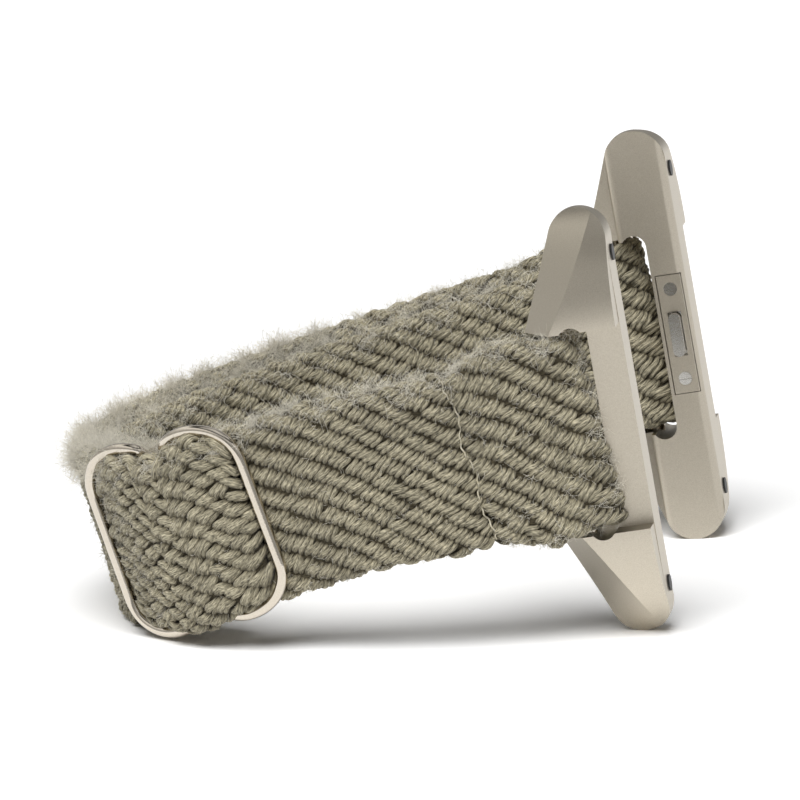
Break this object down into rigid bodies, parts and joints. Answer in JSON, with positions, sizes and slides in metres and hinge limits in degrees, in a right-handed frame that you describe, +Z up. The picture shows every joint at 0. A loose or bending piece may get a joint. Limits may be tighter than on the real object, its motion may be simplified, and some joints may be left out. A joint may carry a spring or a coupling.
{
  "type": "watch strap",
  "caption": "Stretch webbing watch strap in a closed loop, with a sliding wire adjuster and two metal lug adapters that swivel on bars and lock with a sprung button.",
  "frame": {"origin": "middle of the footprint, on the ground that the strap stands on with one edge", "axes": "+Z up, across the webbing's width; +X towards the watch, where the adapters are; the near adapter, beside the slider's side of the loop, is at -Y and the far one at +Y"},
  "size_m": [0.0456, 0.043, 0.0313],
  "materials": {
    "webbing": "matte",
    "thread": "glossy filament",
    "polished_nickel": "polished",
    "satin_nickel": "satin",
    "bright_steel": "bright",
    "black_nylon": "matte"
  },
  "bodies": {
    "strap": {"near_run": "webbing", "near_end_loop": "webbing", "bend_outer_layer": "webbing", "bend_inner_layer": "webbing", "far_outer_run": "webbing", "far_inner_run": "webbing", "far_end_loop": "webbing", "near_seam_thread": "thread"},
    "slider": {"slider_frame": "polished_nickel", "slider_centre_bar": "polished_nickel", "webbing_over_bar": "webbing", "slider_end_loop": "webbing", "slider_seam_thread": "thread"},
    "near_adapter": {"near_adapter_body": "satin_nickel", "near_strap_bar": "bright_steel", "near_latch_spring": "bright_steel", "near_latch_cover": "satin_nickel", "near_cover_screws": "bright_steel", "near_end_pads": "black_nylon"},
    "far_adapter": {"far_adapter_body": "satin_nickel", "far_strap_bar": "bright_steel", "far_latch_spring": "bright_steel", "far_latch_cover": "satin_nickel", "far_cover_screws": "bright_steel", "far_end_pads": "black_nylon"},
    "near_latch": {"near_latch_button": "bright_steel"},
    "far_latch": {"far_latch_button": "bright_steel"}
  },
  "joints": [
    {"name": "slider_travel", "type": "hinge", "parent": "strap", "child": "slider", "pos_m": [0.00585, 0.0156, 0.01325], "axis": [-0.2445, 0, 0.9697], "range_deg": [0, 21]},
    {"name": "near_adapter_swivel", "type": "hinge", "parent": "strap", "child": "near_adapter", "pos_m": [0.01658, -0.01805, 0.01539], "axis": [-0.1141, 0, 0.9935], "range_deg": [-60, 60]},
    {"name": "far_adapter_swivel", "type": "hinge", "parent": "strap", "child": "far_adapter", "pos_m": [0.0166, 0.01889, 0.01539], "axis": [-0.1141, 0, 0.9935], "range_deg": [-60, 60]},
    {"name": "near_latch_press", "type": "slide", "parent": "near_adapter", "child": "near_latch", "axis": [0, -1, 0], "range_m": [0, 0.0006], "stiffness_N_per_m": 200, "springref_m": -0.0005, "deforming": ["near_latch_spring"]},
    {"name": "far_latch_press", "type": "slide", "parent": "far_adapter", "child": "far_latch", "axis": [0, 1, 0], "range_m": [0, 0.0006], "stiffness_N_per_m": 200, "springref_m": -0.0005, "deforming": ["far_latch_spring"]}
  ]
}
